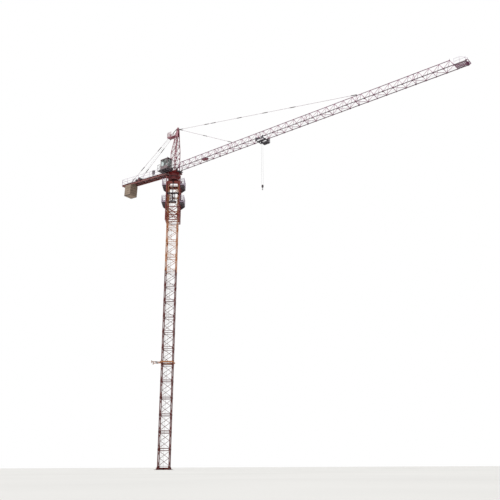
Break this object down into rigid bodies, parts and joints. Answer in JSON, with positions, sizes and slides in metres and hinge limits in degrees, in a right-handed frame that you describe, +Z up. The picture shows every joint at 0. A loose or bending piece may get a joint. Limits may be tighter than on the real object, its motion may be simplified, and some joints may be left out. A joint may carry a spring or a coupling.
{
  "type": "tower crane, half-size scale model",
  "caption": "Half-size model of a hammerhead tower crane: lattice mast with climbing frame, slewing trolley jib, counter-jib and hook block.",
  "frame": {"origin": "centre of the base's underside, on the slewing axis", "axes": "+Z up, +X along the jib, the cab on the -Y side"},
  "size_m": [31.6793, 2.1774, 28.1889],
  "materials": {
    "red_paint": "satin, weathered",
    "yellow_paint": "satin, weathered",
    "crimson_paint": "satin, weathered",
    "pale_paint": "satin",
    "deck_plate": "matte chequer plate",
    "dark_steel": "greasy, dark",
    "wire_rope": "wire rope",
    "concrete": "bare cast concrete",
    "cab_paint": "satin",
    "cab_glass": "clear tinted"
  },
  "bodies": {
    "tower": {"base_frame": "red_paint", "mast_legs_lower": "red_paint", "mast_bracing_lower": "red_paint", "mast_legs_upper": "yellow_paint", "mast_bracing_upper": "yellow_paint", "mast_ladder": "pale_paint", "wall_tie_collar": "yellow_paint", "wall_tie_struts": "yellow_paint", "climbing_posts": "red_paint", "climbing_bracing": "red_paint", "climbing_platforms": "deck_plate", "climbing_rails": "pale_paint", "jacking_frame": "dark_steel", "jacking_cylinder": "dark_steel", "jacking_beam": "dark_steel", "lower_seat": "red_paint", "slewing_ring": "dark_steel"},
    "upperworks": {"upper_seat": "red_paint", "deck_floor": "red_paint", "slewing_drive": "dark_steel", "front_platform": "deck_plate", "tower_head": "crimson_paint", "head_bracing": "crimson_paint", "head_platform": "crimson_paint", "head_rails": "crimson_paint", "rope_sheaves": "dark_steel", "jib_top_chord": "crimson_paint", "jib_bottom_chords": "crimson_paint", "jib_web_near": "crimson_paint", "jib_web_far": "crimson_paint", "jib_floor_bracing": "crimson_paint", "jib_tip": "crimson_paint", "tip_rails": "pale_paint", "tip_sheaves": "dark_steel", "root_pins": "dark_steel", "inner_pendant": "crimson_paint", "outer_pendant": "crimson_paint", "pendant_links": "dark_steel", "trolley_winch": "red_paint", "hoist_rope": "wire_rope", "counter_jib_girders": "red_paint", "counter_jib_deck": "deck_plate", "counter_jib_rails": "pale_paint", "counter_jib_ties": "crimson_paint", "counterweights": "concrete", "counterweight_bars": "dark_steel", "hoist_winch": "red_paint", "winch_drum": "dark_steel", "electric_box": "dark_steel", "cab_shell": "cab_paint", "cab_windows": "cab_glass", "cab_seat": "dark_steel", "cab_platform": "deck_plate"},
    "trolley": {"trolley_frame": "dark_steel", "trolley_wheels": "dark_steel"},
    "hook_block": {"hook_block": "dark_steel", "hook_sheave": "dark_steel", "rope_falls": "wire_rope"},
    "hook": {"hook": "dark_steel"}
  },
  "joints": [
    {"name": "slew", "type": "hinge", "parent": "tower", "child": "upperworks", "pos_m": [0, 0, 23.5], "axis": [0, 0, 1], "continuous": true},
    {"name": "trolley_travel", "type": "slide", "parent": "upperworks", "child": "trolley", "axis": [1, 0, 0], "range_m": [-7.4, 14.9]},
    {"name": "hoist", "type": "slide", "parent": "trolley", "child": "hook_block", "axis": [0, 0, 1], "range_m": [-19.3, 2.7], "deforming": ["rope_falls"]},
    {"name": "hook_swivel", "type": "hinge", "parent": "hook_block", "child": "hook", "pos_m": [9.29, 0, 19.87], "axis": [0, 0, 1], "continuous": true}
  ]
}
